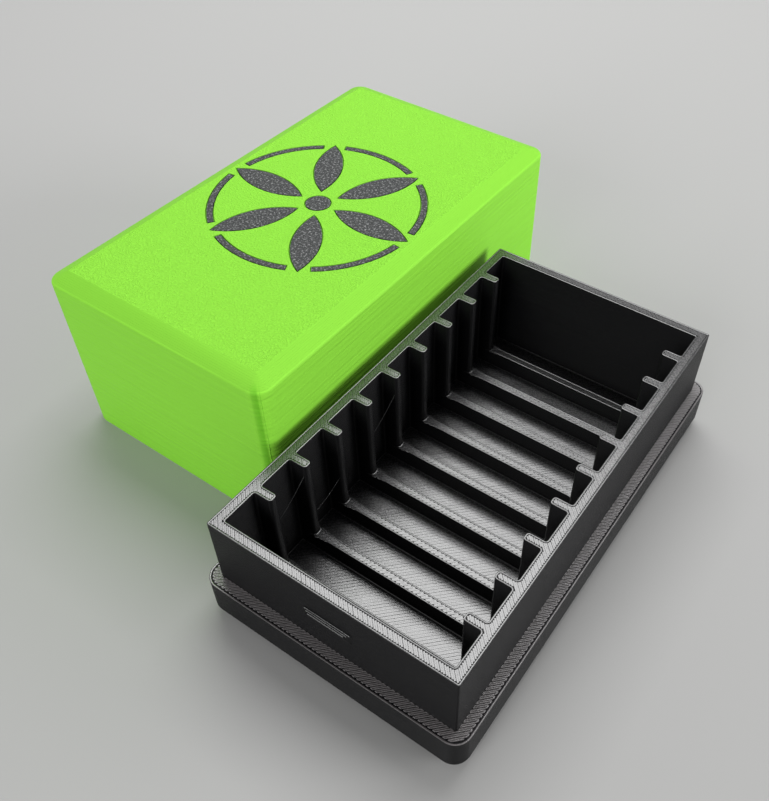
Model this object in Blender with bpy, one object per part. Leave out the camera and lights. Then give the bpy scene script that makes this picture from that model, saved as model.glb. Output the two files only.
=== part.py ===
"""Coin storage box: a slotted tray on a plinth, and a bevelled lid that slips over it.

The box is printed in two parts. The base is one piece: a plinth, four walls, ribs that
divide it into slots for square coin holders, and a snap wedge on each short wall. The lid
is one shell that stands on the plinth's ledge when the box is closed. It is shown taken
off, standing beside the base, with a dark rosette laid into its top.

Metres, +Z up. The origin is the centre of the base's underside, X runs across the slots'
width and Y along the row of slots.
"""

import math

import bmesh
import bpy
from mathutils import Matrix, Vector

# What the box holds: a row of square coin holders, each in its own slot
slot_count = 10
slot_width = 0.00825
inner_width = 0.0524

# Base
wall = 0.0024
floor_thickness = 0.0020
plinth_height = 0.0115
wall_rise = 0.0177
ledge_width = 0.0028
corner_radius = 0.0036
foot_chamfer = 0.0030
wall_corner_radius = 0.0004
inner_corner_radius = 0.0004

# Ribs between the slots
rib_thickness = 0.0020
rib_depth = 0.0041
floor_rib_height = 0.0045
rib_root_radius = 0.0005
rib_tip_radius = 0.0007

# Snap wedge on each short wall, and the dent for it in the lid
snap_width = 0.0112
snap_ridge = 0.0078
snap_height = 0.0034
snap_drop = 0.0006
snap_reach = 0.0008
snap_above_ledge = 0.0087
snap_play = 0.0003

# Lid
lid_height = 0.0450
lid_top_thickness = 0.0024
lid_clearance = 0.0004
lid_inner_radius = 0.0010
bevel_inset = 0.0040
bevel_drop = 0.0018
bevel_blend = 0.0006

# Where the lid stands beside the base
lid_stand_gap = 0.00035
lid_stand_shift = 0.0237

# Rosette laid into the lid's top
petal_count = 6
rosette_radius = 0.0262
petal_start = 0.0052
petal_half_width = 0.0034
ring_width = 0.0014
ring_break = 0.0030
hub_radius = 0.0030
pocket_depth = 0.0008
inlay_gap = 0.0003

# One overrun for every cut and join that has to pass a face
overrun = 0.0010

# Points closer than this are one point
merge_distance = 0.000001

# Outlines keep this many decimals, so that two that share a corner share its points
outline_decimals = 7

# A fillet takes at most this share of the wall or step that it rounds
fillet_limit_share = 0.45

# Facets
corner_segments = 8
small_corner_segments = 5
blend_segments = 4
petal_segments = 12
ring_segments = 8
hub_segments = 32
smooth_angle = math.radians(19)

# Worked out from the sizes above
rib_pitch = slot_width + rib_thickness
inner_length = slot_count * slot_width + (slot_count - 1) * rib_thickness
tray_width = inner_width + 2 * wall
tray_length = inner_length + 2 * wall
plinth_width = tray_width + 2 * ledge_width
plinth_length = tray_length + 2 * ledge_width
rim_z = plinth_height + wall_rise
floor_rib_z = floor_thickness + floor_rib_height
snap_z = plinth_height + snap_above_ledge
root_radius = min(rib_root_radius, fillet_limit_share * min(rib_depth, slot_width))
tip_radius = min(rib_tip_radius, fillet_limit_share * min(rib_depth, rib_thickness))
end_radius = min(inner_corner_radius, fillet_limit_share * slot_width)
lid_inner_width = tray_width + 2 * lid_clearance
lid_inner_length = tray_length + 2 * lid_clearance
lid_inner_height = lid_height - lid_top_thickness
lid_place = Vector((-(plinth_width + lid_stand_gap), lid_stand_shift, 0))
inlay_thickness = pocket_depth - inlay_gap

graphite = (0.040, 0.040, 0.042, 1.0)
lime = (0.290, 0.830, 0.060, 1.0)
speckled_graphite = (0.075, 0.080, 0.080, 1.0)


def clear_scene():
    for leftover in list(bpy.data.objects):
        bpy.data.objects.remove(leftover, do_unlink=True)


def new_collection(name):
    collection = bpy.data.collections.new(name)
    bpy.context.scene.collection.children.link(collection)
    return collection


def plastic(name, colour, roughness):
    """A plain printed plastic."""
    made = bpy.data.materials.new(name)
    made.use_nodes = True
    shader = made.node_tree.nodes["Principled BSDF"]
    shader.inputs["Base Color"].default_value = colour
    shader.inputs["Roughness"].default_value = roughness
    shader.inputs["Metallic"].default_value = 0.0
    made.diffuse_color = colour
    return made


def object_from_bmesh(name, built, collection, material=None):
    """An object with the built mesh, smooth over its round faces."""
    mesh = bpy.data.meshes.new(name)
    built.to_mesh(mesh)
    built.free()
    mesh.shade_smooth()
    mesh.set_sharp_from_angle(angle=smooth_angle)
    if material is not None:
        mesh.materials.append(material)
    made = bpy.data.objects.new(name, mesh)
    collection.objects.link(made)
    return made


def as_cutter(made):
    made.hide_render = True
    made.display_type = "WIRE"
    return made


def boolean(target, other, operation):
    step = target.modifiers.new(f"{operation.lower()} {other.name}", "BOOLEAN")
    step.operation = operation
    step.solver = "EXACT"
    step.object = other


def block(width, length, low, high, radius, segments):
    """An upright block centred on Z, with its four upright edges rounded."""
    built = bmesh.new()
    bmesh.ops.create_cube(built, size=1)
    bmesh.ops.scale(built, vec=(width, length, high - low), verts=built.verts)
    bmesh.ops.translate(built, vec=(0, 0, (high + low) / 2), verts=built.verts)
    upright = [edge for edge in built.edges
               if abs(edge.verts[0].co.z - edge.verts[1].co.z) > (high - low) / 2]
    bmesh.ops.bevel(built, geom=upright, offset=radius, segments=segments, profile=0.5,
                    affect="EDGES")
    return built


def draw_in(built, width, length, radius, inset, height):
    """Grow a rounded block's top by a height, or its foot if that is negative, and draw it in.

    The new face is inset all round, so it keeps what the inset leaves of the corner radius.
    """
    side = math.copysign(1, height)
    ends = [face for face in built.faces if face.normal.z * side > 0.5]
    grown = bmesh.ops.extrude_discrete_faces(built, faces=ends)
    moved = list({vert for face in grown["faces"] for vert in face.verts})
    radius_left = max(radius - inset, 0)
    for vert in moved:
        quadrant = Vector((math.copysign(1, vert.co.x), math.copysign(1, vert.co.y)))
        half = Vector((width / 2, length / 2))
        centre = quadrant * (half - Vector((radius, radius)))
        outward = (vert.co.xy - centre) / radius
        shift = inset + radius_left
        vert.co.xy = quadrant * (half - Vector((shift, shift))) + outward * radius_left
        vert.co.z += height
    bmesh.ops.remove_doubles(built, verts=moved, dist=merge_distance)


def disc(radius, low, high, segments):
    built = bmesh.new()
    bmesh.ops.create_cone(built, cap_ends=True, segments=segments, radius1=radius,
                          radius2=radius, depth=high - low)
    bmesh.ops.translate(built, vec=(0, 0, (high + low) / 2), verts=built.verts)
    return built


def plate(name, points, low, high):
    """A flat outline given a thickness: a filled 2D curve, turned into a closed mesh."""
    curve = bpy.data.curves.new(name, "CURVE")
    curve.dimensions = "2D"
    curve.fill_mode = "BOTH"
    curve.extrude = (high - low) / 2
    spline = curve.splines.new("POLY")
    spline.points.add(len(points) - 1)
    for target, point in zip(spline.points, points):
        target.co = (point[0], point[1], 0, 1)
    spline.use_cyclic_u = True
    drawn = bpy.data.objects.new(name, curve)
    drawn.location.z = (high + low) / 2
    bpy.context.scene.collection.objects.link(drawn)
    bpy.context.view_layer.update()
    evaluated = drawn.evaluated_get(bpy.context.evaluated_depsgraph_get())
    mesh = bpy.data.meshes.new_from_object(evaluated)
    built = bmesh.new()
    built.from_mesh(mesh)
    bmesh.ops.transform(built, matrix=drawn.matrix_world, verts=built.verts)
    bmesh.ops.remove_doubles(built, verts=built.verts, dist=merge_distance)
    bmesh.ops.recalc_face_normals(built, faces=built.faces)
    bpy.data.objects.remove(drawn, do_unlink=True)
    bpy.data.meshes.remove(mesh)
    return built


def rounded_outline(corners):
    """Points round an outline whose corners are (x, y, radius)."""
    points = []
    for index, (x, y, radius) in enumerate(corners):
        here = Vector((x, y))
        before = Vector(corners[index - 1][:2])
        after = Vector(corners[(index + 1) % len(corners)][:2])
        towards_before = (before - here).normalized()
        towards_after = (after - here).normalized()
        centre = here + (towards_before + towards_after) * radius
        start = here + towards_before * radius - centre
        turn = start.angle_signed(here + towards_after * radius - centre)
        for step in range(small_corner_segments + 1):
            angle = -turn * step / small_corner_segments
            point = centre + Matrix.Rotation(angle, 2) @ start
            points.append((round(point.x, outline_decimals), round(point.y, outline_decimals)))
    return points


def snap_wedge(width, ridge, height, drop, reach):
    """A hip-roofed wedge that points along -Y from the plane y = 0, with its foot behind it.

    The ridge lies a small drop below the top edge, so the wedge hangs on a steep underside.
    """
    built = bmesh.new()
    bmesh.ops.create_cube(built, size=1)
    bmesh.ops.scale(built, vec=(width, overrun, height), verts=built.verts)
    bmesh.ops.translate(built, vec=(0, overrun / 2, 0), verts=built.verts)
    front = [face for face in built.faces if face.normal.y < -0.5]
    grown = bmesh.ops.extrude_discrete_faces(built, faces=front)
    tip = list({vert for face in grown["faces"] for vert in face.verts})
    bmesh.ops.scale(built, vec=(ridge / width, 1, 0), verts=tip)
    bmesh.ops.translate(built, vec=(0, -reach, height / 2 - drop), verts=tip)
    bmesh.ops.remove_doubles(built, verts=tip, dist=merge_distance)
    return built


def place_at_end(made, facing, distance, height):
    """Set a wedge against the front end (facing 1) or the back end (facing -1)."""
    made.location = (0, -facing * distance, height)
    made.rotation_euler.z = 0 if facing == 1 else math.pi


def slot_places():
    return [(index - (slot_count - 1) / 2) * rib_pitch for index in range(slot_count)]


def rib_places():
    return [(index - (slot_count - 2) / 2) * rib_pitch for index in range(slot_count - 1)]


def cavity_outline():
    """The tray's inside above the floor ribs: a channel with the ends of the slots each side."""
    side = inner_width / 2
    end = inner_length / 2
    tip = side - rib_depth
    half = rib_thickness / 2
    right = [(side, -end, end_radius)]
    for y in rib_places():
        right += [(side, y - half, root_radius), (tip, y - half, tip_radius),
                  (tip, y + half, tip_radius), (side, y + half, root_radius)]
    right.append((side, end, end_radius))
    left = [(-x, y, radius) for x, y, radius in reversed(right)]
    return rounded_outline(right + left)


def slot_outline(index):
    """The floor of one slot between two floor ribs, from wall to wall."""
    side = inner_width / 2
    middle = slot_places()[index]
    front = middle - slot_width / 2
    back = middle + slot_width / 2
    front_radius = end_radius if index == 0 else root_radius
    back_radius = end_radius if index == slot_count - 1 else root_radius
    return rounded_outline([(side, front, front_radius), (side, back, back_radius),
                            (-side, back, back_radius), (-side, front, front_radius)])


def make_base(parts, cutters, material):
    """Plinth, walls, ribs and snap wedges in one printed piece."""
    plinth = block(plinth_width, plinth_length, foot_chamfer, plinth_height, corner_radius,
                   corner_segments)
    draw_in(plinth, plinth_width, plinth_length, corner_radius, foot_chamfer, -foot_chamfer)
    base = object_from_bmesh("base_tray", plinth, parts, material)

    walls = block(tray_width, tray_length, floor_thickness, rim_z, wall_corner_radius,
                  small_corner_segments)
    boolean(base, as_cutter(object_from_bmesh("walls", walls, cutters)), "UNION")

    for facing in (1, -1):
        wedge = snap_wedge(snap_width, snap_ridge, snap_height, snap_drop, snap_reach)
        joined = as_cutter(object_from_bmesh(f"snap wedge {facing}", wedge, cutters))
        place_at_end(joined, facing, tray_length / 2, snap_z)
        boolean(base, joined, "UNION")

    cavity = plate("cavity", cavity_outline(), floor_rib_z, rim_z + overrun)
    boolean(base, as_cutter(object_from_bmesh("cavity", cavity, cutters)), "DIFFERENCE")
    for index in range(slot_count):
        name = f"slot {index + 1}"
        slot = plate(name, slot_outline(index), floor_thickness, floor_rib_z + overrun)
        boolean(base, as_cutter(object_from_bmesh(name, slot, cutters)), "DIFFERENCE")


def lid_shape():
    """The lid's outside: upright walls, then a shallow bevel in to a sharp-cornered top."""
    shoulder = lid_height - bevel_drop
    built = block(plinth_width, plinth_length, 0, shoulder, corner_radius, corner_segments)
    draw_in(built, plinth_width, plinth_length, corner_radius, bevel_inset, bevel_drop)
    crease = [edge for edge in built.edges
              if all(abs(vert.co.z - shoulder) < merge_distance for vert in edge.verts)]
    blend = min(bevel_blend, fillet_limit_share * bevel_drop)
    bmesh.ops.bevel(built, geom=crease, offset=blend, segments=blend_segments, profile=0.5,
                    affect="EDGES")
    return built


def petal_outline(growth):
    """A pointed petal along +X, grown all round: two arcs that meet on its centre line."""
    half_length = (rosette_radius - petal_start) / 2
    middle = (rosette_radius + petal_start) / 2
    arc_radius = (half_length ** 2 + petal_half_width ** 2) / (2 * petal_half_width)
    centre_offset = arc_radius - petal_half_width
    grown_radius = arc_radius + growth
    reach = math.acos(centre_offset / grown_radius)
    points = []
    for side in (1, -1):
        for step in range(petal_segments):
            angle = reach * (1 - 2 * step / petal_segments)
            points.append((middle + side * grown_radius * math.sin(angle),
                           side * (grown_radius * math.cos(angle) - centre_offset)))
    return points


def arc_outline(growth):
    """One arc of the rosette's ring, centred on +X and grown all round."""
    half_span = math.pi / petal_count - (ring_break - growth) / rosette_radius
    edges = ((rosette_radius + growth, 1), (rosette_radius - ring_width - growth, -1))
    points = []
    for radius, direction in edges:
        for step in range(ring_segments + 1):
            angle = direction * half_span * (2 * step / ring_segments - 1)
            points.append((radius * math.cos(angle), radius * math.sin(angle)))
    return points


def rosette_pieces():
    """Each inlaid piece's name and a function that builds it, grown and between two heights."""
    def hub(growth, low, high):
        return disc(hub_radius + growth, low, high, hub_segments)

    def cut_from(outline, turn):
        def build(growth, low, high):
            rotation = Matrix.Rotation(turn, 2)
            return plate("rosette outline",
                         [rotation @ Vector(point) for point in outline(growth)], low, high)
        return build

    pieces = [("rosette_hub", hub)]
    for number in range(petal_count):
        turn = 2 * math.pi * number / petal_count
        pieces.append((f"rosette_petal_{number + 1}", cut_from(petal_outline, turn)))
        between = turn + math.pi / petal_count
        pieces.append((f"rosette_arc_{number + 1}", cut_from(arc_outline, between)))
    return pieces


def make_lid(parts, cutters, material, inlay_material):
    """The lid's shell and the rosette in its top, carried by an empty at the lid's foot."""
    carrier = bpy.data.objects.new("lid_place", None)
    parts.objects.link(carrier)
    carrier.location = lid_place

    lid = object_from_bmesh("lid_shell", lid_shape(), parts, material)
    hollow = block(lid_inner_width, lid_inner_length, -overrun, lid_inner_height,
                   lid_inner_radius, small_corner_segments)
    tools = [object_from_bmesh("lid hollow", hollow, cutters)]

    for facing in (1, -1):
        dent = snap_wedge(snap_width + 2 * snap_play, snap_ridge + 2 * snap_play,
                          snap_height + 2 * snap_play, snap_drop + snap_play, snap_reach)
        tool = object_from_bmesh(f"snap dent {facing}", dent, cutters)
        place_at_end(tool, facing, lid_inner_length / 2, snap_above_ledge)
        tools.append(tool)

    for name, build in rosette_pieces():
        pocket = build(inlay_gap, lid_height - pocket_depth, lid_height + overrun)
        tools.append(object_from_bmesh(f"{name} pocket", pocket, cutters))
        inlay = object_from_bmesh(name, build(0, lid_height - inlay_thickness, lid_height),
                                  parts, inlay_material)
        inlay.parent = carrier

    for tool in tools:
        tool.parent = carrier
        boolean(lid, as_cutter(tool), "DIFFERENCE")
    lid.parent = carrier


def main():
    clear_scene()
    parts = new_collection("coin_storage_box")
    cutters = new_collection("cutters")
    make_base(parts, cutters, plastic("graphite PLA", graphite, 0.45))
    make_lid(parts, cutters, plastic("lime PLA", lime, 0.50),
             plastic("speckled graphite PLA", speckled_graphite, 0.40))


main()
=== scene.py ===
"""Looks of the coin storage box: printed finishes, print lines, stage, lights and camera."""

import math
import random
from collections import namedtuple

import bmesh
import bpy
from bpy.props import FloatProperty, FloatVectorProperty, PointerProperty
from mathutils import Matrix, Quaternion, Vector


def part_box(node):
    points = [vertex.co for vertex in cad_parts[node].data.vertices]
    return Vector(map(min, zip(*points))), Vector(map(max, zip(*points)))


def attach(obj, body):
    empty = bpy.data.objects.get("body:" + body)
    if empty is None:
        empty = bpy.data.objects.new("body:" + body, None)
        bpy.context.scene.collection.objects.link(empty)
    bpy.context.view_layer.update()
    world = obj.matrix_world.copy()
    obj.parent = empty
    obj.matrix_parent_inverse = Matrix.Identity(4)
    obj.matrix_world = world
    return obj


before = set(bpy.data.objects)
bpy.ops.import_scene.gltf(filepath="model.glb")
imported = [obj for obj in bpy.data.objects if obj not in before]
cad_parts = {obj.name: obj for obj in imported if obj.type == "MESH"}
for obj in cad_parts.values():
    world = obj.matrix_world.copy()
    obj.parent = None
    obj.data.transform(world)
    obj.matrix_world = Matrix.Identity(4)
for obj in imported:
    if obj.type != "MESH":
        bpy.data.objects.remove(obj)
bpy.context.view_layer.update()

bl_info = {
    "name": "Coin Storage Box",
    "version": (1, 0, 0),
    "blender": (4, 5, 0),
    "location": "View3D > Sidebar > Coin Box",
    "description": "Dresses the coin storage box in its 3-D printed finishes and sets its stage",
    "category": "Object",
}

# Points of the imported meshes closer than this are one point
weld_distance = 0.000001

# Level faces whose heights differ by less than this lie at one height
same_height = 10 * weld_distance

# Heights are rounded to this many decimal places of a metre
height_digits = 6

# A face lies level when its normal's upward part is above this
level_cosine = 0.999

# Faces that meet at less than this belong to one curve, on the solids and on the lines
smooth_angle = math.radians(19)
line_smooth_angle = math.radians(50)

# The fill lines run at this angle to the base's width
fill_angle = math.radians(45)

# The wave texture's bands repeat every 2 pi / 20 units at scale 1
wave_period = math.pi / 10

# Most values of a noise texture lie between these
noise_low_share, noise_high_share = 0.3, 0.7

# A streak on a wall is drawn out level: its height over its length
streak_share = 0.02

# The seam's ringing is shorter: its height over its length
ringing_share = 0.3

# Where across the seam's corner the lime gets painted shade, from the front wall to the right, and
# how dark
painted_shade_shares = ((0.24, 0), (0.31, 0.8), (0.42, 1), (0.455, 0.5), (0.48, 0.15), (0.5, 0),
                 (0.52, 0.55), (0.54, 0))

# Rib that a hair starts from, and how high up the ribs it starts and ends
hair_shares = ((0, 0.6, 0.9), (1, 0.25, 0.4), (3, 0.5, 0.8))

# How the fill lines of a face lie: their crown's height, their lean and their gap to the outline
Fill = namedtuple("Fill", "crown lean gap")


def linear(code):
    """An sRGB hex colour as the linear values that Blender's colours hold."""
    shares = [int(code[at:at + 2], 16) / 255 for at in (1, 3, 5)]
    return tuple(c / 12.92 if c <= 0.04045 else ((c + 0.055) / 1.055) ** 2.4 for c in shares)


class PrintSizes(bpy.types.PropertyGroup):
    """Sizes of the printer's lines and layers."""
    line_pitch: FloatProperty(
        name="Line pitch", description="Distance from one printed line to the next",
        default=0.00038, unit="LENGTH", precision=5)
    line_groove: FloatProperty(
        name="Groove", description="Groove between two lines at the face",
        default=0.00001, unit="LENGTH", precision=5)
    line_crown: FloatProperty(
        name="Line crown", description="Height of an outline line's crown above the flat face",
        default=0.00005, unit="LENGTH", precision=5)
    fill_crown: FloatProperty(
        name="Fill crown", description="Height of a fill line's crown above the flat face",
        default=0.000008, unit="LENGTH", precision=6)
    rim_crown: FloatProperty(
        name="Rim crown", description="Height of a fill line's crown on the rim",
        default=0.00001, unit="LENGTH", precision=6)
    ledge_crown: FloatProperty(
        name="Ledge crown", description="Height of the rounder lines' crown on the ledge",
        default=0.00006, unit="LENGTH", precision=5)
    line_root: FloatProperty(
        name="Line root", description="Depth of a line's foot below the flat face",
        default=0.00004, unit="LENGTH", precision=5)
    outline_gap: FloatProperty(
        name="Outline gap", description="Groove between an outline line and the fill inside it",
        default=0.00012, unit="LENGTH", precision=5)
    ledge_gap: FloatProperty(
        name="Ledge gap", description="Groove between the ledge's outline line and its fill",
        default=0.00042, unit="LENGTH", precision=5)
    pair_rise: FloatProperty(
        name="Pair rise", description="How much higher every second fill line lies",
        default=0.000003, unit="LENGTH", precision=6)
    pair_lean: FloatProperty(
        name="Pair lean", description="How far the fill lines lean, each against the next",
        default=math.radians(0.8), subtype="ANGLE")
    ledge_lean: FloatProperty(
        name="Ledge lean", description="How far the ledge's rounder lines lean in their pairs",
        default=math.radians(5), subtype="ANGLE")
    uneven_rise: FloatProperty(
        name="Uneven rise", description="Most that one fill line lies above or below its like",
        default=0.000002, unit="LENGTH", precision=6)
    uneven_lean: FloatProperty(
        name="Uneven lean", description="Most that one fill line leans beyond its like",
        default=math.radians(0.4), subtype="ANGLE")
    ripple: FloatProperty(
        name="Ripple", description="Length of the small ripples along a line",
        default=0.0003, unit="LENGTH", precision=5)
    layer_height: FloatProperty(
        name="Layer height", description="Height of one printed layer",
        default=0.0002, unit="LENGTH", precision=5)
    layer_bulge: FloatProperty(
        name="Layer bulge", description="Steepest tilt of a layer's bulging side",
        default=math.radians(50), subtype="ANGLE")
    grain: FloatProperty(
        name="Plate grain", description="Grain that the textured plate leaves on the lid's top",
        default=0.0005, unit="LENGTH", precision=5)
    seam_radius: FloatProperty(
        name="Seam radius", description="Radius of the ridge where each layer's outline starts",
        default=0.00016, unit="LENGTH", precision=5)
    seam_reach: FloatProperty(
        name="Seam reach", description="How far beside the seam the layers lie unevenly",
        default=0.004, unit="LENGTH", precision=5)
    hair_radius: FloatProperty(
        name="Hair radius", description="Radius of a hair of plastic drawn between two ribs",
        default=0.00005, unit="LENGTH", precision=5)
    hair_sag: FloatProperty(
        name="Hair sag", description="How far a hair hangs below a straight line",
        default=0.0006, unit="LENGTH", precision=5)


class Colours(bpy.types.PropertyGroup):
    """Colours of the filaments and the floor."""
    graphite: FloatVectorProperty(
        name="Graphite", description="Filament of the base",
        default=linear("#111113"), subtype="COLOR", min=0, max=1)
    # Lighter and browner than the graphite: painted light for what the ledge's round tops catch,
    # beside their real rough scatter
    strand: FloatVectorProperty(
        name="Strand", description="Tops of the ledge's rounder lines",
        default=linear("#544F50"), subtype="COLOR", min=0, max=1)
    lime: FloatVectorProperty(
        name="Lime", description="Filament of the lid",
        default=linear("#97E946"), subtype="COLOR", min=0, max=1)
    # A darker lime, painted as shade beside the seam's corner and along the bevel's top edge
    lime_painted_shade: FloatVectorProperty(
        name="Lime hollow", description="Lime where light bounces about in a small hollow",
        default=linear("#74CA2D"), subtype="COLOR", min=0, max=1)
    inlay: FloatVectorProperty(
        name="Inlay", description="Ground colour of the speckled inlay",
        default=linear("#343636"), subtype="COLOR", min=0, max=1)
    speckle: FloatVectorProperty(
        name="Speckle", description="Speckles of the inlay",
        default=linear("#9A9C9C"), subtype="COLOR", min=0, max=1)
    floor: FloatVectorProperty(
        name="Floor", description="Plain floor under the box",
        default=linear("#B4B4B3"), subtype="COLOR", min=0, max=1)


class Studio(bpy.types.PropertyGroup):
    """Floor, lights and sky."""
    floor_size: FloatProperty(
        name="Floor size", description="Side of the square floor",
        default=6, unit="LENGTH")
    key_place: FloatVectorProperty(
        name="Key place", description="Centre of the wide softbox above and behind the box",
        default=(-0.2, 0.31, 0.65), subtype="TRANSLATION", unit="LENGTH")
    key_aim: FloatVectorProperty(
        name="Key aim", description="Point that the softbox faces",
        default=(-0.2, 0.3, 0), subtype="TRANSLATION", unit="LENGTH")
    key_width: FloatProperty(
        name="Key width", description="Width of the softbox", default=0.62, unit="LENGTH")
    key_depth: FloatProperty(
        name="Key depth", description="Depth of the softbox", default=0.45, unit="LENGTH")
    key_power: FloatProperty(
        name="Key power", description="Power of the softbox", default=4.1, unit="POWER")
    fill_place: FloatVectorProperty(
        name="Fill place", description="Centre of the large fill light before the box",
        default=(-0.05, -1.6, 0.65), subtype="TRANSLATION", unit="LENGTH")
    fill_size: FloatProperty(
        name="Fill size", description="Side of the square fill light",
        default=1.0, unit="LENGTH")
    fill_power: FloatProperty(
        name="Fill power", description="Power of the fill light", default=13, unit="POWER")
    side_place: FloatVectorProperty(
        name="Side place", description="Centre of the large light beside the box",
        default=(1.2, 0.5, 0.3), subtype="TRANSLATION", unit="LENGTH")
    side_size: FloatProperty(
        name="Side size", description="Side of the square side light",
        default=0.7, unit="LENGTH")
    side_power: FloatProperty(
        name="Side power", description="Power of the side light", default=12.2, unit="POWER")
    light_aim: FloatVectorProperty(
        name="Light aim", description="Point that the fill and side lights face",
        default=(-0.03, 0.02, 0), subtype="TRANSLATION", unit="LENGTH")
    sky: FloatVectorProperty(
        name="Sky", description="Colour of the room's even light",
        default=(1, 1, 1), subtype="COLOR", min=0, max=1)
    sky_strength: FloatProperty(
        name="Sky strength", description="Strength of the room's even light", default=0.34)


class Viewpoint(bpy.types.PropertyGroup):
    """Where the photograph was taken from."""
    place: FloatVectorProperty(
        name="Place", description="Place of the camera", default=(0.061377, -0.109588, 0.165457),
        subtype="TRANSLATION", unit="LENGTH", precision=6)
    aim: FloatVectorProperty(
        name="Aim", description="Point that the camera faces",
        default=(-0.015893, 0.008452, 0.015), subtype="TRANSLATION", unit="LENGTH", precision=6)
    roll: FloatProperty(
        name="Roll", description="Turn of the camera about its line of sight",
        default=math.radians(1.4085), subtype="ANGLE")
    lens: FloatProperty(
        name="Lens", description="Focal length in millimetres", default=39.59)
    sensor: FloatProperty(
        name="Sensor", description="Width of the sensor in millimetres", default=36)
    nearest: FloatProperty(
        name="Nearest", description="Nothing nearer to the camera than this is seen",
        default=0.01, unit="LENGTH")
    shift_x: FloatProperty(
        name="Shift X", description="Sideways shift, as a share of the picture's long side",
        default=-0.0733)
    shift_y: FloatProperty(
        name="Shift Y", description="Upward shift, as a share of the picture's long side",
        default=0.0115)


def add(tree, kind, inputs=None, **settings):
    """A shader node with its settings, and its inputs set to values or linked to outputs."""
    node = tree.nodes.new(kind)
    for name, value in settings.items():
        setattr(node, name, value)
    for name, value in (inputs or {}).items():
        if isinstance(value, bpy.types.NodeSocket):
            tree.links.new(value, node.inputs[name])
        else:
            node.inputs[name].default_value = value
    return node


def new_material(name, **values):
    """A material with a Principled shader and its even values set: (material, tree, shader)."""
    made = bpy.data.materials.new(name)
    made.use_nodes = True
    shader = made.node_tree.nodes["Principled BSDF"]
    for socket, value in values.items():
        shader.inputs[socket.replace("_", " ")].default_value = value
    return made, made.node_tree, shader


def with_alpha(colour, brightness=1.0):
    """A colour made lighter or darker, with the fourth value that a socket takes."""
    return tuple(channel * brightness for channel in colour) + (1.0,)


def layer_marks(tree, place, flat_share, height, detail):
    """Marks along a wall's layers: noise of a height, drawn out level.

    They are drawn some layers high, because a single layer is too fine to show on a wall.
    """
    drawn = add(tree, "ShaderNodeMapping", {"Vector": place, "Scale": (flat_share, flat_share, 1)})
    noise = add(tree, "ShaderNodeTexNoise", {"Vector": drawn.outputs["Vector"],
                                             "Scale": 1 / height, "Detail": detail})
    return noise.outputs["Fac"]


def layered_normal(tree, sizes, streak):
    """The normals of a wall whose layers bulge: each layer tilts them up, then down."""
    uneven_tilt = 0.15
    face = add(tree, "ShaderNodeNewGeometry").outputs["Normal"]
    place = add(tree, "ShaderNodeTexCoord").outputs["Object"]
    height = add(tree, "ShaderNodeSeparateXYZ", {"Vector": place}).outputs["Z"]
    turn = add(tree, "ShaderNodeMath", {0: height, 1: 2 * math.pi / sizes.layer_height},
               operation="MULTIPLY")
    wave = add(tree, "ShaderNodeMath", {0: turn.outputs["Value"]}, operation="SINE")
    bulge = add(tree, "ShaderNodeMath", {0: wave.outputs["Value"],
                                         1: math.tan(sizes.layer_bulge)}, operation="MULTIPLY")
    uneven = add(tree, "ShaderNodeMapRange", {"Value": streak, "From Min": noise_low_share,
                                              "From Max": noise_high_share,
                                              "To Min": -uneven_tilt, "To Max": uneven_tilt})
    both = add(tree, "ShaderNodeMath", {0: bulge.outputs["Value"],
                                        1: uneven.outputs["Result"]}, operation="ADD")
    up = add(tree, "ShaderNodeCombineXYZ", {"Z": both.outputs["Value"]})
    tilted = add(tree, "ShaderNodeVectorMath", {0: face, 1: up.outputs["Vector"]},
                 operation="ADD")
    return add(tree, "ShaderNodeVectorMath", {0: tilted.outputs["Vector"]},
               operation="NORMALIZE").outputs["Vector"]


def graphite_wall_material(sizes, colours):
    """Upright faces of the FDM-printed PLA base.

    The layers bulge like stacked strands, so a wall scatters light up and down: it looks matt
    and nearly black, with faint level streaks where one layer lies prouder than the next.
    """
    dark_share, light_share = 0.75, 1.25
    made, tree, shader = new_material("FDM-printed PLA, graphite, layered walls",
                                      Roughness=0.42, IOR=1.46, Specular_IOR_Level=0.16)
    place = add(tree, "ShaderNodeTexCoord").outputs["Object"]
    streak_height = 3 * sizes.layer_height
    streak = layer_marks(tree, place, streak_share, streak_height, 3)
    tint = add(tree, "ShaderNodeMix", {"Factor": streak,
                                       "A": with_alpha(colours.graphite, dark_share),
                                       "B": with_alpha(colours.graphite, light_share)},
               data_type="RGBA")
    tree.links.new(tint.outputs["Result"], shader.inputs["Base Color"])
    tree.links.new(layered_normal(tree, sizes, streak), shader.inputs["Normal"])
    return made


def line_ripples(tree, sizes):
    """The small ripples along a printed line: their pattern, and the normals they give."""
    height_share = 1 / 9
    place = add(tree, "ShaderNodeTexCoord").outputs["Object"]
    ripple = add(tree, "ShaderNodeTexNoise", {"Vector": place, "Scale": 1 / sizes.ripple,
                                              "Detail": 2}).outputs["Fac"]
    bump = add(tree, "ShaderNodeBump", {"Height": ripple, "Strength": 1.0,
                                        "Distance": sizes.ripple * height_share})
    return ripple, bump.outputs["Normal"]


def graphite_line_material(sizes, colours):
    """Top lines of the FDM-printed PLA base.

    The hot nozzle irons a top line flat and glossy, so it mirrors the lights in a soft sheen,
    with small ripples along it.
    """
    glossy, duller = 0.2, 0.35
    made, tree, shader = new_material("FDM-printed PLA, graphite, ironed top lines",
                                      IOR=1.6, Specular_IOR_Level=0.85,
                                      Coat_Weight=1.0, Coat_Roughness=0.3, Coat_IOR=1.6)
    ripple, normal = line_ripples(tree, sizes)
    rough = add(tree, "ShaderNodeMapRange", {"Value": ripple, "To Min": glossy,
                                             "To Max": duller})
    tree.links.new(rough.outputs["Result"], shader.inputs["Roughness"])
    tree.links.new(normal, shader.inputs["Normal"])
    shader.inputs["Base Color"].default_value = with_alpha(colours.graphite)
    return made


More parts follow.
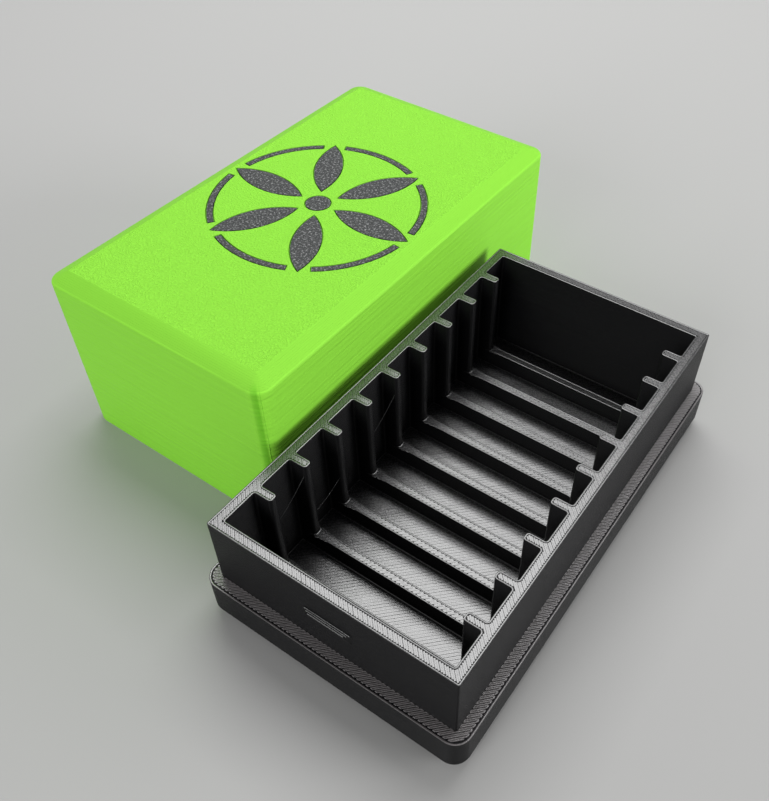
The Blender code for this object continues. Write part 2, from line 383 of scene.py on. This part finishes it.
def graphite_strand_material(sizes, colours):
    """Ledge lines of the FDM-printed PLA base.

    No ironing pass flattened these strands, so their round tops scatter light and glint along
    the top of each strand. Their colour is painted lighter and browner than the walls as painted
    light, and the ripples' high points get painted highlights.
    """
    hollow_value, crest_value = 0.35, 0.65
    dark_share, light_share = 0.6, 1.4
    made, tree, shader = new_material("FDM-printed PLA, graphite, round ledge strands",
                                      Roughness=0.38, IOR=1.6, Specular_IOR_Level=1.0,
                                      Coat_Weight=1.0, Coat_Roughness=0.3, Coat_IOR=1.7)
    ripple, normal = line_ripples(tree, sizes)
    # Painted highlight: the ripples' high points get a lighter colour
    painted_crest_glint = add(tree, "ShaderNodeMapRange", {"Value": ripple, "From Min": hollow_value,
                                              "From Max": crest_value})
    tint = add(tree, "ShaderNodeMix", {"Factor": painted_crest_glint.outputs["Result"],
                                       "A": with_alpha(colours.strand, dark_share),
                                       "B": with_alpha(colours.strand, light_share)},
               data_type="RGBA")
    tree.links.new(tint.outputs["Result"], shader.inputs["Base Color"])
    tree.links.new(normal, shader.inputs["Normal"])
    return made


def lid_slopes(tree):
    """Where the lid lies flat, where it is bevelled or flat, and the bevel's upper edge, where a
    painted shade goes.
    """
    bevel_start, bevel_full = 0.7, 0.9
    flat_start, flat_full = 0.97, 0.99
    edge_cosine, edge_spread = 0.984, 0.009
    normal = add(tree, "ShaderNodeNewGeometry").outputs["True Normal"]
    upward = add(tree, "ShaderNodeSeparateXYZ", {"Vector": normal}).outputs["Z"]
    flat = add(tree, "ShaderNodeMapRange", {"Value": upward, "From Min": flat_start,
                                            "From Max": flat_full})
    sloped = add(tree, "ShaderNodeMapRange", {"Value": upward, "From Min": bevel_start,
                                              "From Max": bevel_full})
    edge = add(tree, "ShaderNodeMath", {0: upward, 1: edge_cosine, 2: edge_spread},
               operation="COMPARE")
    return flat.outputs["Result"], sloped.outputs["Result"], edge.outputs["Value"]


def seam_ringing_and_shade(tree, sizes, place):
    """How unevenly the layers lie near the seam's corner, and where beside it a painted shade
    darkens the lime.
    """
    most_uneven = 1.6
    corner = lid_corner()
    apart = add(tree, "ShaderNodeVectorMath", {0: place, 1: (corner.x, corner.y, 0)},
                operation="SUBTRACT").outputs["Vector"]
    level = add(tree, "ShaderNodeVectorMath", {0: apart, 1: (1, 1, 0)}, operation="MULTIPLY")
    away = add(tree, "ShaderNodeVectorMath", {0: level.outputs["Vector"]}, operation="LENGTH")
    near = add(tree, "ShaderNodeMapRange", {"Value": away.outputs["Value"],
                                            "From Max": sizes.seam_reach,
                                            "To Min": most_uneven, "To Max": 0})
    diagonal = (math.sqrt(0.5), math.sqrt(0.5), 0)
    across = add(tree, "ShaderNodeVectorMath", {0: apart, 1: diagonal},
                 operation="DOT_PRODUCT")
    along = add(tree, "ShaderNodeMapRange", {"Value": across.outputs["Value"],
                                             "From Min": -sizes.seam_reach,
                                             "From Max": sizes.seam_reach})
    # Painted shade beside the seam: a band across the corner, fading away from it
    painted_shade = add(tree, "ShaderNodeFloatCurve", {"Value": along.outputs["Result"]})
    points = painted_shade.mapping.curves[0].points
    points[0].location, points[1].location = (0, 0), (1, 0)
    for place_share, dark_share in painted_shade_shares:
        points.new(place_share, dark_share)
    painted_shade.mapping.update()
    dark = add(tree, "ShaderNodeMath", {0: painted_shade.outputs["Value"], 1: near.outputs["Result"]},
               operation="MULTIPLY")
    return near.outputs["Result"], dark.outputs["Value"]


def lid_relief(tree, sizes, place, flat, sloped, near):
    """The lid's surface in layer heights: streaks on walls, steps on the bevel, grain on top."""
    pit_value, peak_value = 0.36, 0.64
    streak_depth, step_depth = 0.5, 0.5
    streak_height = 4 * sizes.layer_height
    ringing_height = 5 * sizes.layer_height
    streak = layer_marks(tree, place, streak_share, streak_height, 4)
    streaks = add(tree, "ShaderNodeMapRange", {"Value": streak, "From Min": noise_low_share,
                                               "From Max": noise_high_share,
                                               "To Max": streak_depth})
    ringing = layer_marks(tree, place, ringing_share, ringing_height, 1)
    wall = add(tree, "ShaderNodeMath", {0: ringing, 1: near, 2: streaks.outputs["Result"]},
               operation="MULTIPLY_ADD")
    wave = add(tree, "ShaderNodeTexWave", {"Vector": place,
                                           "Scale": wave_period / sizes.layer_height},
               bands_direction="Z", wave_profile="SAW")
    steps_up = add(tree, "ShaderNodeMath", {0: wave.outputs["Fac"], 1: step_depth},
                   operation="MULTIPLY")
    grain = add(tree, "ShaderNodeTexNoise", {"Vector": place, "Scale": 1 / sizes.grain,
                                             "Detail": 2, "Roughness": 0.6})
    pits = add(tree, "ShaderNodeMapRange", {"Value": grain.outputs["Fac"],
                                            "From Min": pit_value, "From Max": peak_value})
    side = add(tree, "ShaderNodeMix", {"Factor": sloped, "A": wall.outputs["Value"],
                                       "B": steps_up.outputs["Value"]})
    return add(tree, "ShaderNodeMix", {"Factor": flat, "A": side.outputs["Result"],
                                       "B": pits.outputs["Result"]}).outputs["Result"]


def lime_material(sizes, colours):
    """The FDM-printed PLA lid.

    Its walls show faint level streaks, uneven near the seam's corner, its bevel shows the steps
    of single layers, and its top has the grain of the textured plate that it was printed on.
    Painted shade darkens the bevel's colour for the steps that shade one another, and a darker
    lime is painted as shade beside the seam's corner and along the bevel's top edge.
    """
    dark_share, light_share, bevel_shade_share = 0.95, 1.03, 0.87
    made, tree, shader = new_material("FDM-printed PLA, lime",
                                      Roughness=0.55, IOR=1.46, Specular_IOR_Level=0.1)
    place = add(tree, "ShaderNodeTexCoord").outputs["Object"]
    flat, sloped, edge = lid_slopes(tree)
    near, dark = seam_ringing_and_shade(tree, sizes, place)
    height = lid_relief(tree, sizes, place, flat, sloped, near)
    bump = add(tree, "ShaderNodeBump", {"Height": height, "Strength": 1.0,
                                        "Distance": sizes.layer_height})
    # Lower relief is tinted darker: painted shade in each step's groove on the bevel, and tone
    # that varies with the streaks and grain on walls and top
    tint = add(tree, "ShaderNodeMix", {"Factor": height,
                                       "A": with_alpha(colours.lime, dark_share),
                                       "B": with_alpha(colours.lime, light_share)},
               data_type="RGBA")
    # Painted shade: the bevel's colour is multiplied darker for the steps that shade one another
    bevelled = add(tree, "ShaderNodeMath", {0: sloped, 1: flat}, operation="SUBTRACT")
    bevel_painted_shade = add(tree, "ShaderNodeMix", {"Factor": bevelled.outputs["Value"],
                                          "A": tint.outputs["Result"],
                                          "B": with_alpha((1, 1, 1), bevel_shade_share)},
                  data_type="RGBA", blend_type="MULTIPLY")
    # Painted shade: a darker lime along the bevel's top edge and beside the seam's corner
    painted_shade = add(tree, "ShaderNodeMath", {0: edge, 1: dark}, operation="MAXIMUM")
    shaded = add(tree, "ShaderNodeMix", {"Factor": painted_shade.outputs["Value"],
                                         "A": bevel_painted_shade.outputs["Result"],
                                         "B": with_alpha(colours.lime_painted_shade)}, data_type="RGBA")
    tree.links.new(shaded.outputs["Result"], shader.inputs["Base Color"])
    tree.links.new(bump.outputs["Normal"], shader.inputs["Normal"])
    return made


def speckled_material(sizes, colours):
    """The inlay: FDM-printed PLA with mineral flakes, pressed against the same textured plate.

    The flakes speckle it light grey, and the plate's grain breaks up its shine.
    """
    flake_start, flake_full = 0.52, 0.66
    relief = sizes.layer_height / 2
    made, tree, shader = new_material("FDM-printed PLA, speckled graphite",
                                      Roughness=0.5, IOR=1.46, Specular_IOR_Level=0.3)
    place = add(tree, "ShaderNodeTexCoord").outputs["Object"]
    flake = add(tree, "ShaderNodeTexNoise", {"Vector": place, "Scale": 1 / sizes.grain,
                                             "Detail": 3, "Roughness": 0.7})
    share = add(tree, "ShaderNodeMapRange", {"Value": flake.outputs["Fac"],
                                             "From Min": flake_start, "From Max": flake_full})
    tint = add(tree, "ShaderNodeMix", {"Factor": share.outputs["Result"],
                                       "A": with_alpha(colours.inlay),
                                       "B": with_alpha(colours.speckle)}, data_type="RGBA")
    bump = add(tree, "ShaderNodeBump", {"Height": flake.outputs["Fac"], "Strength": 0.5,
                                        "Distance": relief})
    tree.links.new(tint.outputs["Result"], shader.inputs["Base Color"])
    tree.links.new(bump.outputs["Normal"], shader.inputs["Normal"])
    return made


def floor_material(colours):
    """The floor: matt paper, which shows nothing but soft shadows."""
    made, tree, shader = new_material("Matt paper floor", Roughness=0.9, Specular_IOR_Level=0.1)
    shader.inputs["Base Color"].default_value = with_alpha(colours.floor)
    return made


def rounded_shading():
    """A modifier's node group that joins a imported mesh's points and shades its curves smooth."""
    tree = bpy.data.node_groups.new("rounded shading", "GeometryNodeTree")
    tree.interface.new_socket("Geometry", in_out="INPUT", socket_type="NodeSocketGeometry")
    tree.interface.new_socket("Geometry", in_out="OUTPUT", socket_type="NodeSocketGeometry")
    given = add(tree, "NodeGroupInput")
    joined = add(tree, "GeometryNodeMergeByDistance", {"Geometry": given.outputs["Geometry"],
                                                       "Distance": weld_distance})
    angle = add(tree, "GeometryNodeInputMeshEdgeAngle")
    sharp = add(tree, "FunctionNodeCompare", {"A": angle.outputs["Unsigned Angle"],
                                              "B": smooth_angle}, operation="GREATER_THAN")
    smooth = add(tree, "GeometryNodeSetMeshNormal", {"Mesh": joined.outputs["Geometry"],
                                                     "Edge Sharpness": sharp.outputs["Result"]},
                 mode="SHARPNESS")
    smooth.inputs["Remove Custom"].default_value = True
    smooth.inputs["Face Sharpness"].default_value = False
    add(tree, "NodeGroupOutput", {"Geometry": smooth.outputs["Mesh"]})
    return tree


def dress_node(name, material):
    """Give a CAD node its finish and smooth shading over its round faces."""
    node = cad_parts[name]
    node.data.materials[0] = material
    joined = node.modifiers.new("rounded shading", "NODES")
    joined.node_group = bpy.data.node_groups.get("rounded shading") or rounded_shading()
    weighted = node.modifiers.new("flat faces stay flat", "WEIGHTED_NORMAL")
    weighted.keep_sharp = True


def flat_outlines(node, height):
    """The outlines of a node's level faces at a height, with the faces on their left."""
    built = bmesh.new()
    built.from_mesh(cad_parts[node].data)
    bmesh.ops.remove_doubles(built, verts=built.verts, dist=weld_distance)
    level = {face for face in built.faces if face.normal.z > level_cosine
             and abs(face.calc_center_median().z - height) < same_height}
    following = {}
    for face in level:
        for loop in face.loops:
            if not any(other in level for other in loop.edge.link_faces if other is not face):
                following[loop.vert] = loop.link_loop_next.vert
    outlines = []
    while following:
        start = next(iter(following))
        points = []
        here = start
        while here in following:
            points.append(here.co.xy.copy())
            here = following.pop(here)
        outlines.append(points)
    built.free()
    return outlines


def level_heights(node):
    """The heights of a node's level upward faces, lowest first."""
    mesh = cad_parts[node].data
    return sorted({round(face.center.z, height_digits) for face in mesh.polygons
                   if face.normal.z > level_cosine})


def moved_in(outline, distance):
    """An outline moved towards the faces on its left, with mitred corners."""
    points = []
    for index, here in enumerate(outline):
        before = (here - outline[index - 1]).normalized()
        after = (outline[(index + 1) % len(outline)] - here).normalized()
        side = Vector((-before.y - after.y, before.x + after.x))
        points.append(here + side * distance / (1 + before.dot(after)))
    return points


def fill_rows(outlines, angle, pitch):
    """Rows of straight lines at an angle and a pitch, from edge to edge of what outlines hold."""
    turn = Matrix.Rotation(-angle, 2)
    edges = []
    for outline in outlines:
        turned = [turn @ point for point in outline]
        edges += list(zip(turned, turned[1:] + turned[:1]))
    lowest = min(start.y for start, end in edges)
    highest = max(start.y for start, end in edges)
    back = Matrix.Rotation(angle, 2)
    rows = []
    for row in range(math.ceil(lowest / pitch), math.ceil(highest / pitch)):
        y = row * pitch
        crossings = sorted(start.x + (end.x - start.x) * (y - start.y) / (end.y - start.y)
                           for start, end in edges if (start.y > y) != (end.y > y))
        rows.append([(back @ Vector((left, y)), back @ Vector((right, y)))
                     for left, right in zip(crossings[::2], crossings[1::2])
                     if right - left > pitch / 2])
    return rows


def line_profile(width, crown, root):
    """Rounded section of a printed line: (across, up) points, anticlockwise."""
    half = width / 2
    edge_share, flank_share, top_share = 0.85, 0.55, 0.2
    right = [(half, -root), (half, 0)]
    right += [(half * share, crown * (1 - share ** 2))
              for share in (edge_share, flank_share, top_share)]
    return right + [(-across, up) for across, up in reversed(right)]


def lay_line(built, path, height, profile, closed):
    """One printed line along a level path, its section mitred at each corner."""
    rings = []
    for index, here in enumerate(path):
        first, last = not closed and index == 0, not closed and index == len(path) - 1
        before = (here - path[index - 1]).normalized() if not first else None
        after = (path[(index + 1) % len(path)] - here).normalized() if not last else before
        before = before or after
        side = Vector((-before.y - after.y, before.x + after.x)) / (1 + before.dot(after))
        rings.append([built.verts.new((*(here - side * across), height + up))
                      for across, up in profile])
    spans = list(zip(rings, rings[1:]))
    if closed:
        spans.append((rings[-1], rings[0]))
    for start, end in spans:
        for at in range(len(profile)):
            after = (at + 1) % len(profile)
            built.faces.new((start[at], start[after], end[after], end[at]))
    if not closed:
        built.faces.new(reversed(rings[0]))
        built.faces.new(rings[-1])


def line_piece(name, built, material):
    """A piece of printed lines from their bmesh, riding on the base."""
    bmesh.ops.recalc_face_normals(built, faces=built.faces)
    mesh = bpy.data.meshes.new(name)
    built.to_mesh(mesh)
    built.free()
    mesh.shade_smooth()
    mesh.set_sharp_from_angle(angle=line_smooth_angle)
    mesh.materials.append(material)
    made = bpy.data.objects.new(name, mesh)
    bpy.context.scene.collection.objects.link(made)
    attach(made, "base")
    return made


def outline_area(outline):
    """Twice the area inside an outline, below zero where the faces lie outside it."""
    return sum(here.cross(after) for here, after in zip(outline, outline[1:] + outline[:1]))


def print_lines(name, sizes, height, angle, fill, line_holes, turns, material):
    """Lines on the base's level faces at a height: outlines and a slanted fill, as one piece.

    Outlines round a hole get no line, and the fill runs up to them, unless line_holes is set.
    The nozzle lays the fill to and fro, so its lines lean and lie in pairs, and turns joins
    their ends.
    """
    chance = random.Random(name)
    width = sizes.line_pitch - sizes.line_groove
    turn_reach = 2 * sizes.line_pitch
    around = line_profile(width, sizes.line_crown, sizes.line_root)
    within = line_profile(width, fill.crown, sizes.line_root)
    built = bmesh.new()
    filled = []
    for outline in flat_outlines("base_tray", height):
        if outline_area(outline) > 0 or line_holes:
            path = moved_in(outline, sizes.line_pitch / 2)
            lay_line(built, path, height, around, True)
            filled.append(moved_in(outline, sizes.line_pitch + fill.gap))
        else:
            filled.append(outline)
    rows = fill_rows(filled, angle, sizes.line_pitch)
    for number, (row, following) in enumerate(zip(rows, rows[1:] + [[]])):
        side = 1 if number % 2 else -1
        for stroke in row:
            rise = (side * sizes.pair_rise / 2
                    + chance.uniform(-sizes.uneven_rise, sizes.uneven_rise))
            lean = math.tan(side * fill.lean
                            + chance.uniform(-sizes.uneven_lean, sizes.uneven_lean))
            profile = [(across, up + across * lean) for across, up in within]
            lay_line(built, stroke, height + rise, profile, False)
            end = stroke[number % 2]
            for other in following if turns else ():
                if (other[number % 2] - end).length < turn_reach:
                    lay_line(built, (end, other[number % 2]), height, within, False)
    return line_piece(name, built, material)


def snap_steps(sizes, material):
    """The edges of single layers on the upper slope of each snap wedge."""
    ledge, rim = level_heights("base_tray")[-2:]
    points = [vert.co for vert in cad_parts["base_tray"].data.vertices]
    wall = max(point.y for point in points if abs(point.z - rim) < weld_distance)
    wedge = [point for point in points
             if point.y > wall - weld_distance and ledge + weld_distance < point.z < rim
             and abs(point.x) < wall / 2]
    reach = max(point.y for point in wedge) - wall
    ridge = max((point for point in wedge if point.y > wall + reach - weld_distance),
                key=lambda point: (point.z, point.x))
    top = max((point for point in wedge if point.y < wall + weld_distance
               and point.z < rim - weld_distance), key=lambda point: (point.z, point.x))
    count = round((top.z - ridge.z) / sizes.layer_height)
    built = bmesh.new()
    tread = reach / count
    crown_share = 1 / 3
    profile = line_profile(tread, tread * crown_share, sizes.layer_height)
    for side in (1, -1):
        for step in range(count):
            share = (step + 0.5) / count
            end = top.x + (ridge.x - top.x) * share
            y = side * (wall + reach * share)
            height = top.z + (ridge.z - top.z) * share
            lay_line(built, [Vector((-end, y)), Vector((end, y))], height, profile, False)
    return line_piece("snap_layer_edges", built, material)


def strand(name, points, radius, material, body, slot):
    """A thin round strand through points, as one piece."""
    curve = bpy.data.curves.new(name, "CURVE")
    curve.dimensions = "3D"
    curve.bevel_depth = radius
    curve.bevel_resolution = 1
    curve.use_fill_caps = True
    spline = curve.splines.new("POLY")
    spline.points.add(len(points) - 1)
    for target, point in zip(spline.points, points):
        target.co = (*point, 1)
    curve.materials.append(material)
    made = bpy.data.objects.new(name, curve)
    bpy.context.scene.collection.objects.link(made)
    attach(made, body)
    return made


def rib_tips():
    """The middle of each floor rib's left end, where the side rib's tip stands, front first."""
    outlines = flat_outlines("base_tray", level_heights("base_tray")[1])
    tips = []
    for outline in outlines:
        left = min(point.x for point in outline)
        ends = [point.y for point in outline if point.x < left + weld_distance]
        tips.append(Vector((left, (min(ends) + max(ends)) / 2)))
    return sorted(tips, key=lambda tip: tip.y)


def rib_hairs(sizes, material):
    """Hairs of plastic that the nozzle drew from rib to rib on the left."""
    tips = rib_tips()
    foot, rim = level_heights("base_tray")[1], level_heights("base_tray")[-1]
    count = 8
    for number, low_share, high_share in hair_shares:
        points = []
        for step in range(count + 1):
            share = step / count
            sag = 4 * sizes.hair_sag * share * (1 - share)
            place = tips[number].lerp(tips[number + 1], share)
            up = low_share + (high_share - low_share) * share
            points.append((place.x, place.y, foot + (rim - foot) * up - sag))
        strand(f"rib_hair_{number + 1}", points, sizes.hair_radius, material, "base",
               "graphite_pla")


def lid_corner():
    """The lid's upright corner that stands nearest the base's front: where its seam runs."""
    low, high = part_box("lid_shell")
    return Vector((high[0], low[1]))


def lid_seam(sizes, material):
    """The ridge up the lid's corner where the outline of each layer starts."""
    chance = random.Random("seam")
    points = [vert.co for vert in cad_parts["lid_shell"].data.vertices]
    corner = lid_corner()
    foot = min((point for point in points if point.z < weld_distance),
               key=lambda point: (point.xy - corner).length).xy
    shoulder = max(point.z for point in points if (point.xy - foot).length < weld_distance)
    low, high = (Vector(place).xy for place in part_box("lid_shell"))
    sunk_share, wobble_share = 0.6, 0.3
    start = foot + ((low + high) / 2 - foot).normalized() * sizes.seam_radius * sunk_share
    rise = 2 * sizes.layer_height
    path = []
    for row in range(int(shoulder / rise) + 1):
        wobble = chance.uniform(-wobble_share, wobble_share) * sizes.seam_radius
        path.append((start.x + wobble, start.y + wobble, row * rise))
    strand("lid_seam", path, sizes.seam_radius, material, "lid", "lime_pla")


def softbox(name, place, aim, width, depth, power):
    """A soft rectangular light that faces a point."""
    data = bpy.data.lights.new(name, "AREA")
    data.shape = "RECTANGLE"
    data.size = width
    data.size_y = depth
    data.energy = power
    lamp = bpy.data.objects.new(name, data)
    bpy.context.scene.collection.objects.link(lamp)
    lamp.location = place
    lamp.rotation_mode = "QUATERNION"
    lamp.rotation_quaternion = (Vector(aim) - Vector(place)).to_track_quat("-Z", "Y")


class COIN_BOX_OT_camera(bpy.types.Operator):
    """Set the camera where the photograph was taken from"""
    bl_idname = "coin_box.camera"
    bl_label = "Set camera"

    def execute(self, context):
        view = context.scene.coin_box_view
        data = bpy.data.cameras.new("camera")
        data.lens = view.lens
        data.sensor_width = view.sensor
        data.shift_x = view.shift_x
        data.shift_y = view.shift_y
        data.clip_start = view.nearest
        camera = bpy.data.objects.new("camera", data)
        context.scene.collection.objects.link(camera)
        place = Vector(view.place)
        camera.location = place
        camera.rotation_mode = "QUATERNION"
        level = (Vector(view.aim) - place).to_track_quat("-Z", "Y")
        camera.rotation_quaternion = level @ Quaternion((0, 0, 1), view.roll)
        context.scene.camera = camera
        return {"FINISHED"}


class COIN_BOX_OT_stage(bpy.types.Operator):
    """Lay the floor and set the lights"""
    bl_idname = "coin_box.stage"
    bl_label = "Set stage"

    def execute(self, context):
        scene = context.scene
        studio = scene.coin_box_studio
        bpy.ops.mesh.primitive_plane_add(size=studio.floor_size)
        floor = context.object
        floor.name = "floor"
        floor.data.materials.append(floor_material(scene.coin_box_colours))
        softbox("key softbox", studio.key_place, studio.key_aim, studio.key_width,
                studio.key_depth, studio.key_power)
        softbox("fill", studio.fill_place, studio.light_aim, studio.fill_size, studio.fill_size,
                studio.fill_power)
        softbox("side", studio.side_place, studio.light_aim, studio.side_size, studio.side_size,
                studio.side_power)
        world = bpy.data.worlds.new("studio")
        world.use_nodes = True
        sky = world.node_tree.nodes["Background"]
        sky.inputs["Color"].default_value = with_alpha(studio.sky)
        sky.inputs["Strength"].default_value = studio.sky_strength
        scene.world = world
        scene.view_settings.view_transform = "Standard"
        return {"FINISHED"}


class COIN_BOX_OT_base(bpy.types.Operator):
    """Finish the base's walls and lay the lines on its level faces"""
    bl_idname = "coin_box.base"
    bl_label = "Finish base"

    def execute(self, context):
        sizes = context.scene.coin_box_sizes
        colours = context.scene.coin_box_colours
        dress_node("base_tray", graphite_wall_material(sizes, colours))
        ironed = graphite_line_material(sizes, colours)
        floor, rib, ledge, rim = level_heights("base_tray")
        strands = graphite_strand_material(sizes, colours)
        flat = Fill(sizes.fill_crown, sizes.pair_lean, sizes.outline_gap)
        edge = Fill(sizes.rim_crown, sizes.pair_lean, sizes.outline_gap)
        rounder = Fill(sizes.ledge_crown, sizes.ledge_lean, sizes.ledge_gap)
        for name, height, angle, fill, line_holes, turns, material in (
                ("slot_floor_lines", floor, fill_angle, flat, True, False, ironed),
                ("floor_rib_lines", rib, fill_angle, flat, True, True, ironed),
                ("ledge_lines", ledge, fill_angle, rounder, False, True, strands),
                ("rim_lines", rim, -fill_angle, edge, True, False, ironed)):
            print_lines(name, sizes, height, angle, fill, line_holes, turns, material)
        snap_steps(sizes, ironed)
        rib_hairs(sizes, ironed)
        return {"FINISHED"}


class COIN_BOX_OT_lid(bpy.types.Operator):
    """Finish the lid's shell"""
    bl_idname = "coin_box.lid"
    bl_label = "Finish lid"

    def execute(self, context):
        sizes = context.scene.coin_box_sizes
        lime = lime_material(sizes, context.scene.coin_box_colours)
        dress_node("lid_shell", lime)
        lid_seam(sizes, lime)
        return {"FINISHED"}


class COIN_BOX_OT_inlay(bpy.types.Operator):
    """Finish the rosette's pieces"""
    bl_idname = "coin_box.inlay"
    bl_label = "Finish inlay"

    def execute(self, context):
        sizes = context.scene.coin_box_sizes
        speckled = speckled_material(sizes, context.scene.coin_box_colours)
        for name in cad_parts:
            if name.startswith("rosette"):
                dress_node(name, speckled)
        return {"FINISHED"}


class COIN_BOX_PT_panel(bpy.types.Panel):
    """Sizes, colours and steps of the coin storage box"""
    bl_idname = "COIN_BOX_PT_panel"
    bl_label = "Coin Storage Box"
    bl_space_type = "VIEW_3D"
    bl_region_type = "UI"
    bl_category = "Coin Box"

    def draw(self, context):
        scene = context.scene
        for group in (scene.coin_box_sizes, scene.coin_box_colours, scene.coin_box_studio,
                      scene.coin_box_view):
            box = self.layout.box()
            for name in group.bl_rna.properties.keys():
                if name not in ("rna_type", "name"):
                    box.prop(group, name)
        for step in steps:
            self.layout.operator(step.bl_idname)


steps = (COIN_BOX_OT_camera, COIN_BOX_OT_stage, COIN_BOX_OT_base, COIN_BOX_OT_lid,
         COIN_BOX_OT_inlay)
groups = {"coin_box_sizes": PrintSizes, "coin_box_colours": Colours, "coin_box_studio": Studio,
          "coin_box_view": Viewpoint}


def register():
    for kind in (*groups.values(), *steps, COIN_BOX_PT_panel):
        bpy.utils.register_class(kind)
    for name, kind in groups.items():
        setattr(bpy.types.Scene, name, PointerProperty(type=kind))


def unregister():
    for name in groups:
        delattr(bpy.types.Scene, name)
    for kind in (COIN_BOX_PT_panel, *reversed(steps), *groups.values()):
        bpy.utils.unregister_class(kind)


def main():
    register()
    for step in steps:
        category, name = step.bl_idname.split(".")
        getattr(getattr(bpy.ops, category), name)()


if __name__ == "__main__":
    main()
